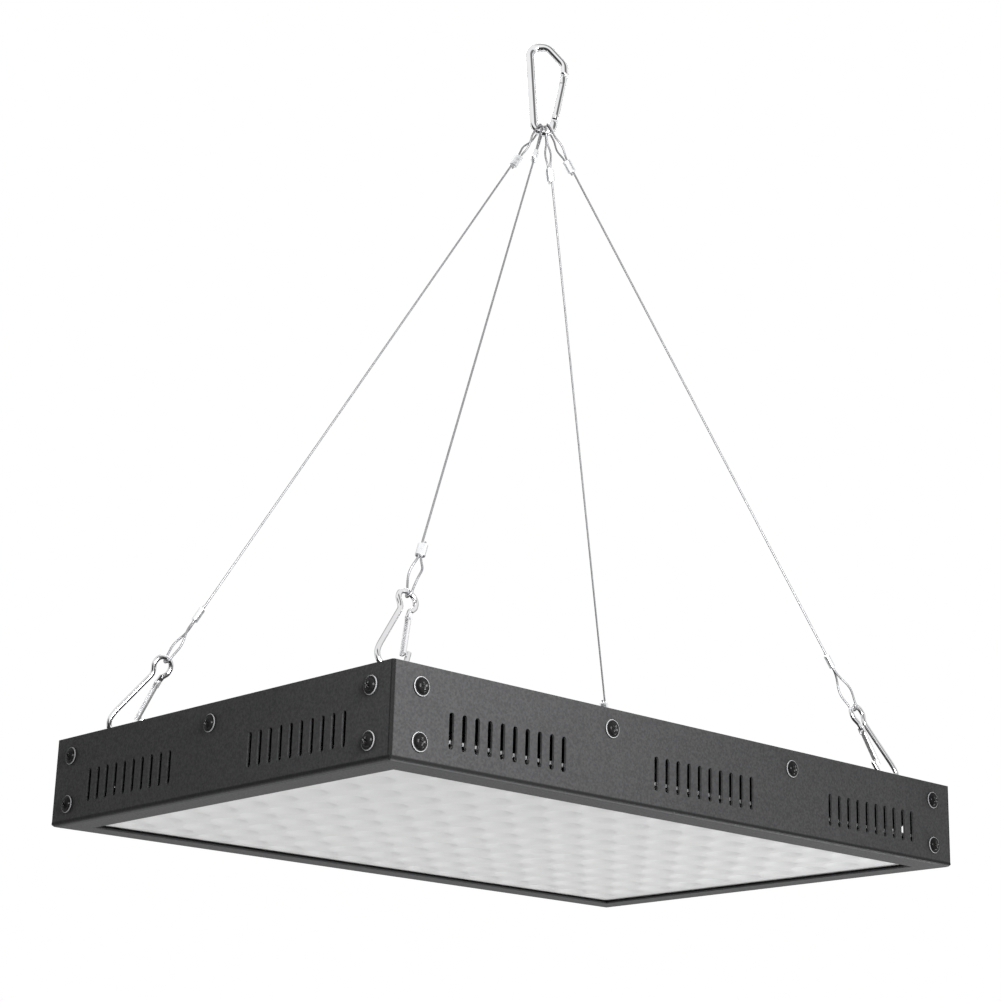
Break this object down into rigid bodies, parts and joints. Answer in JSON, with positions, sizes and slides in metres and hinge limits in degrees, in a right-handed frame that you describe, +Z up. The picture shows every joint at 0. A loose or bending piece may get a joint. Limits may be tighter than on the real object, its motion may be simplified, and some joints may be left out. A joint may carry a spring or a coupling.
{
  "type": "hanging led grow light",
  "caption": "Slotted black sheet-metal grow light with a cupped pale light panel underneath, hung by wire slings and snap hooks from one carabiner.",
  "frame": {"origin": "inner top bearing of the carabiner, where it hangs; the underside of the housing is 0.4954 m below, its centre 2.3 mm to one side as the pear-shaped carabiner hangs", "axes": "+Z up; X along the housing's long side; Y along its short side; the corner named near is at -X -Y"},
  "size_m": [0.4258, 0.2858, 0.5],
  "materials": {
    "housing_paint": "fine-grained matt powder coat",
    "cover_paint": "fine-grained matt powder coat",
    "panel_plastic": "milky moulded sheet with shallow round cups",
    "gasket_foam": "closed-cell foam",
    "board": "white solder mask on laminate",
    "sink": "mill finish sheet",
    "driver": "satin sheet case",
    "fan_plastic": "glass-filled black moulding",
    "rotor_plastic": "black moulding",
    "inlet_plastic": "black moulding with plated blades",
    "eye_steel": "zinc plated bent rod",
    "hook_steel": "nickel plated bent wire",
    "gate_steel": "nickel plated folded sheet",
    "rope": "stranded steel wire rope",
    "ferrule": "pressed sleeve with die marks",
    "chrome": "polished plated rod",
    "gate_chrome": "polished plated gate",
    "screw_steel": "black oxide with a worn rim"
  },
  "bodies": {
    "carabiner": {"carabiner_body": "chrome"},
    "carabiner_gate": {"carabiner_gate": "gate_chrome"},
    "light": {"housing_tray": "housing_paint", "top_cover": "cover_paint", "light_panel": "panel_plastic", "panel_gasket": "gasket_foam", "led_board": "board", "heat_sink": "sink", "led_driver": "driver", "fan_frame_1": "fan_plastic", "fan_frame_2": "fan_plastic", "mains_inlet": "inlet_plastic", "hanging_eye_near": "eye_steel", "hook_body_near": "hook_steel", "sling_wire_near": "rope", "ferrule_upper_near": "ferrule", "ferrule_lower_near": "ferrule", "hanging_eye_left": "eye_steel", "hook_body_left": "hook_steel", "sling_wire_left": "rope", "ferrule_upper_left": "ferrule", "ferrule_lower_left": "ferrule", "hanging_eye_right": "eye_steel", "hook_body_right": "hook_steel", "sling_wire_right": "rope", "ferrule_upper_right": "ferrule", "ferrule_lower_right": "ferrule", "hanging_eye_back": "eye_steel", "hook_body_back": "hook_steel", "sling_wire_back": "rope", "ferrule_upper_back": "ferrule", "ferrule_lower_back": "ferrule", "screw_front_1": "screw_steel", "screw_front_2": "screw_steel", "screw_front_3": "screw_steel", "screw_front_4": "screw_steel", "screw_front_5": "screw_steel", "screw_front_6": "screw_steel", "screw_back_1": "screw_steel", "screw_back_2": "screw_steel", "screw_back_3": "screw_steel", "screw_back_4": "screw_steel", "screw_back_5": "screw_steel", "screw_back_6": "screw_steel", "screw_left_1": "screw_steel", "screw_left_2": "screw_steel", "screw_left_3": "screw_steel", "screw_left_4": "screw_steel", "screw_left_5": "screw_steel", "screw_right_1": "screw_steel", "screw_right_2": "screw_steel", "screw_right_3": "screw_steel", "screw_right_4": "screw_steel", "screw_right_5": "screw_steel"},
    "fan_rotor_1": {"fan_rotor_1": "rotor_plastic"},
    "fan_rotor_2": {"fan_rotor_2": "rotor_plastic"},
    "hook_gate_near": {"hook_gate_near": "gate_steel"},
    "hook_gate_left": {"hook_gate_left": "gate_steel"},
    "hook_gate_right": {"hook_gate_right": "gate_steel"},
    "hook_gate_back": {"hook_gate_back": "gate_steel"}
  },
  "joints": [
    {"name": "light_sway", "type": "hinge", "parent": "carabiner", "child": "light", "pos_m": [0.00141, -0.00141, -0.0548], "axis": [0.7071, -0.7071, 0], "range_deg": [-15, 15]},
    {"name": "carabiner_gate_hinge", "type": "hinge", "parent": "carabiner", "child": "carabiner_gate", "pos_m": [0.00629, -0.00629, -0.0456], "axis": [-0.7071, -0.7071, 0], "range_deg": [0, 22], "stiffness_Nm_per_rad": 0.03, "springref_deg": -14.32},
    {"name": "fan_spin_1", "type": "hinge", "parent": "light", "child": "fan_rotor_1", "pos_m": [-0.09963, 0.00163, -0.4718], "axis": [0, 0, 1], "continuous": true},
    {"name": "fan_spin_2", "type": "hinge", "parent": "light", "child": "fan_rotor_2", "pos_m": [0.09637, 0.00163, -0.4718], "axis": [0, 0, 1], "continuous": true},
    {"name": "hook_gate_near_hinge", "type": "hinge", "parent": "light", "child": "hook_gate_near", "pos_m": [-0.17454, -0.10341, -0.41516], "axis": [0, 0.9615, -0.275], "range_deg": [0, 22], "stiffness_Nm_per_rad": 0.01, "springref_deg": -14.32},
    {"name": "hook_gate_left_hinge", "type": "hinge", "parent": "light", "child": "hook_gate_left", "pos_m": [-0.17471, 0.10648, -0.41511], "axis": [0, 0.96, 0.28], "range_deg": [0, 22], "stiffness_Nm_per_rad": 0.01, "springref_deg": -14.32},
    {"name": "hook_gate_right_hinge", "type": "hinge", "parent": "light", "child": "hook_gate_right", "pos_m": [0.17181, -0.10361, -0.41479], "axis": [0, -0.9639, 0.2661], "range_deg": [0, 22], "stiffness_Nm_per_rad": 0.01, "springref_deg": -14.32},
    {"name": "hook_gate_back_hinge", "type": "hinge", "parent": "light", "child": "hook_gate_back", "pos_m": [0.17173, 0.10615, -0.41504], "axis": [0, -0.9574, -0.2887], "range_deg": [0, 22], "stiffness_Nm_per_rad": 0.01, "springref_deg": -14.32}
  ]
}
